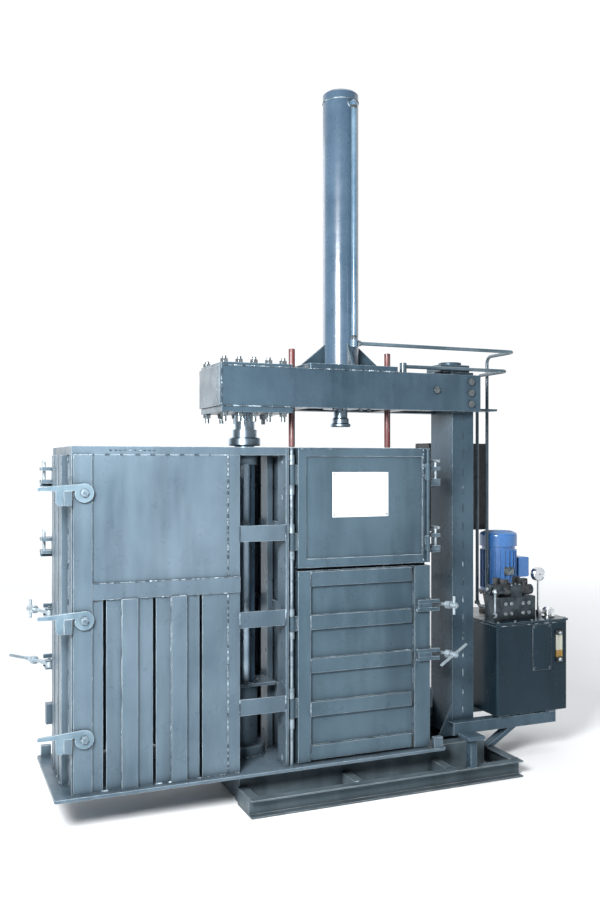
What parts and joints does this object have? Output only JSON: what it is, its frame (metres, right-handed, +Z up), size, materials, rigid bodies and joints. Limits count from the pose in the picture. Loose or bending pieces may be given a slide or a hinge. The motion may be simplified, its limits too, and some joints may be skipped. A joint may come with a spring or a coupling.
{
  "type": "recycling baler",
  "caption": "Swivel twin-box hydraulic baler: two slatted boxes on a turntable round a column, press cylinder on a crosshead, oil tank and motor at the side.",
  "frame": {"origin": "on the floor, on the axis of the pivot column", "axes": "+X towards the press column, +Y away from the operator, +Z up"},
  "size_m": [2.4475, 0.702, 2.92],
  "materials": {
    "frame_enamel": "sprayed blue-grey enamel",
    "box_enamel": "sprayed blue-grey enamel",
    "tank_enamel": "dark slate enamel",
    "turned_steel": "turned and ground",
    "cylinder_enamel": "glossy blue-grey enamel",
    "bolt_steel": "plated",
    "red_oxide": "red oxide primer",
    "latch_steel": "worn bright steel",
    "motor_blue": "blue enamel",
    "cast_iron": "as cast",
    "chrome": "polished",
    "sight_glass": "clear amber plastic in a steel frame"
  },
  "bodies": {
    "frame": {"base_girders": "frame_enamel", "breather": "chrome", "cap_side_pipe": "cylinder_enamel", "carriage_stop": "frame_enamel", "clamp_plates": "frame_enamel", "control_panel": "tank_enamel", "crosshead_beams": "frame_enamel", "crosshead_bolts": "bolt_steel", "cylinder_cap": "cylinder_enamel", "cylinder_gland": "turned_steel", "cylinder_mount": "frame_enamel", "cylinder_tube": "cylinder_enamel", "electric_motor": "motor_blue", "guide_bushes": "frame_enamel", "level_gauge": "sight_glass", "motor_fan_cover": "motor_blue", "oil_tank": "tank_enamel", "pivot_column": "turned_steel", "press_column": "frame_enamel", "pressure_gauge": "chrome", "pump_mount": "cast_iron", "riser_pipe": "cylinder_enamel", "rod_side_pipe": "cylinder_enamel", "skid_frame": "frame_enamel", "tank_cover_plate": "tank_enamel", "tank_shelf": "frame_enamel", "terminal_box": "motor_blue", "valve_block": "tank_enamel"},
    "carriage": {"turntable_plate": "box_enamel", "pivot_sleeve": "box_enamel", "box_frames": "box_enamel", "inner_walls": "box_enamel", "end_walls": "box_enamel", "slatted_panels": "box_enamel", "hinge_bars": "box_enamel", "platen": "box_enamel", "latch_brackets": "box_enamel"},
    "ram": {"ram": "turned_steel"},
    "guide_rod_left": {"guide_rod_left": "red_oxide"},
    "guide_rod_right": {"guide_rod_right": "red_oxide"},
    "valve_lever": {"valve_lever": "latch_steel"},
    "upper_door_right": {"upper_door_right": "box_enamel"},
    "lower_door_right": {"lower_door_right": "box_enamel"},
    "tee_clamp_right": {"tee_clamp_right": "latch_steel"},
    "capstan_clamp_right": {"capstan_clamp_right": "latch_steel"},
    "drop_pin_low_right": {"drop_pin_low_right": "latch_steel"},
    "drop_pin_high_right": {"drop_pin_high_right": "latch_steel"},
    "hook_low_right": {"hook_low_right": "latch_steel"},
    "hook_middle_right": {"hook_middle_right": "latch_steel"},
    "hook_high_right": {"hook_high_right": "latch_steel"},
    "upper_door_left": {"upper_door_left": "box_enamel"},
    "lower_door_left": {"lower_door_left": "box_enamel"},
    "tee_clamp_left": {"tee_clamp_left": "latch_steel"},
    "capstan_clamp_left": {"capstan_clamp_left": "latch_steel"},
    "drop_pin_low_left": {"drop_pin_low_left": "latch_steel"},
    "drop_pin_high_left": {"drop_pin_high_left": "latch_steel"},
    "hook_low_left": {"hook_low_left": "latch_steel"},
    "hook_middle_left": {"hook_middle_left": "latch_steel"},
    "hook_high_left": {"hook_high_left": "latch_steel"}
  },
  "joints": [
    {"name": "carriage_turn", "type": "hinge", "parent": "frame", "child": "carriage", "pos_m": [0, 0, 0.8], "axis": [0, 0, 1], "continuous": true},
    {"name": "ram_stroke", "type": "slide", "parent": "frame", "child": "ram", "axis": [0, 0, -1], "range_m": [0, 1.1]},
    {"name": "valve_lever_throw", "type": "hinge", "parent": "frame", "child": "valve_lever", "pos_m": [1.175, -0.075, 0.642], "axis": [1, 0, 0], "range_deg": [-20, 20]},
    {"name": "guide_rod_left_slide", "type": "slide", "parent": "frame", "child": "guide_rod_left", "axis": [0, 0, -1], "range_m": [0, 0.15]},
    {"name": "guide_rod_right_slide", "type": "slide", "parent": "frame", "child": "guide_rod_right", "axis": [0, 0, -1], "range_m": [0, 0.15]},
    {"name": "upper_door_right_swing", "type": "hinge", "parent": "carriage", "child": "upper_door_right", "pos_m": [0.118, -0.225, 1.15], "axis": [0, 0, -1], "range_deg": [0, 105]},
    {"name": "lower_door_right_swing", "type": "hinge", "parent": "carriage", "child": "lower_door_right", "pos_m": [0.118, -0.225, 0.55], "axis": [0, 0, -1], "range_deg": [0, 105]},
    {"name": "tee_clamp_right_swing", "type": "hinge", "parent": "carriage", "child": "tee_clamp_right", "pos_m": [0.762, -0.165, 0.742], "axis": [0, 0, 1], "range_deg": [-24, 50]},
    {"name": "capstan_clamp_right_swing", "type": "hinge", "parent": "carriage", "child": "capstan_clamp_right", "pos_m": [0.762, -0.165, 0.537], "axis": [0, 0, 1], "range_deg": [-24, 50]},
    {"name": "drop_pin_low_right_lift", "type": "slide", "parent": "carriage", "child": "drop_pin_low_right", "axis": [0, 0, 1], "range_m": [-0.018, 0]},
    {"name": "drop_pin_high_right_lift", "type": "slide", "parent": "carriage", "child": "drop_pin_high_right", "axis": [0, 0, 1], "range_m": [-0.018, 0]},
    {"name": "hook_low_right_lift", "type": "hinge", "parent": "carriage", "child": "hook_low_right", "pos_m": [0.692, 0.255, 0.348], "axis": [0, -1, 0], "range_deg": [0, 75]},
    {"name": "hook_middle_right_lift", "type": "hinge", "parent": "carriage", "child": "hook_middle_right", "pos_m": [0.692, 0.255, 0.772], "axis": [0, -1, 0], "range_deg": [0, 75]},
    {"name": "hook_high_right_lift", "type": "hinge", "parent": "carriage", "child": "hook_high_right", "pos_m": [0.692, 0.255, 1.228], "axis": [0, -1, 0], "range_deg": [0, 75]},
    {"name": "upper_door_left_swing", "type": "hinge", "parent": "carriage", "child": "upper_door_left", "pos_m": [-0.118, 0.225, 1.15], "axis": [0, 0, -1], "range_deg": [0, 105]},
    {"name": "lower_door_left_swing", "type": "hinge", "parent": "carriage", "child": "lower_door_left", "pos_m": [-0.118, 0.225, 0.55], "axis": [0, 0, -1], "range_deg": [0, 105]},
    {"name": "tee_clamp_left_swing", "type": "hinge", "parent": "carriage", "child": "tee_clamp_left", "pos_m": [-0.762, 0.165, 0.742], "axis": [0, 0, 1], "range_deg": [-24, 50]},
    {"name": "capstan_clamp_left_swing", "type": "hinge", "parent": "carriage", "child": "capstan_clamp_left", "pos_m": [-0.762, 0.165, 0.537], "axis": [0, 0, 1], "range_deg": [-24, 50]},
    {"name": "drop_pin_low_left_lift", "type": "slide", "parent": "carriage", "child": "drop_pin_low_left", "axis": [0, 0, 1], "range_m": [-0.018, 0]},
    {"name": "drop_pin_high_left_lift", "type": "slide", "parent": "carriage", "child": "drop_pin_high_left", "axis": [0, 0, 1], "range_m": [-0.018, 0]},
    {"name": "hook_low_left_lift", "type": "hinge", "parent": "carriage", "child": "hook_low_left", "pos_m": [-0.692, -0.255, 0.348], "axis": [0, 1, 0], "range_deg": [0, 75]},
    {"name": "hook_middle_left_lift", "type": "hinge", "parent": "carriage", "child": "hook_middle_left", "pos_m": [-0.692, -0.255, 0.772], "axis": [0, 1, 0], "range_deg": [0, 75]},
    {"name": "hook_high_left_lift", "type": "hinge", "parent": "carriage", "child": "hook_high_left", "pos_m": [-0.692, -0.255, 1.228], "axis": [0, 1, 0], "range_deg": [0, 75]}
  ]
}
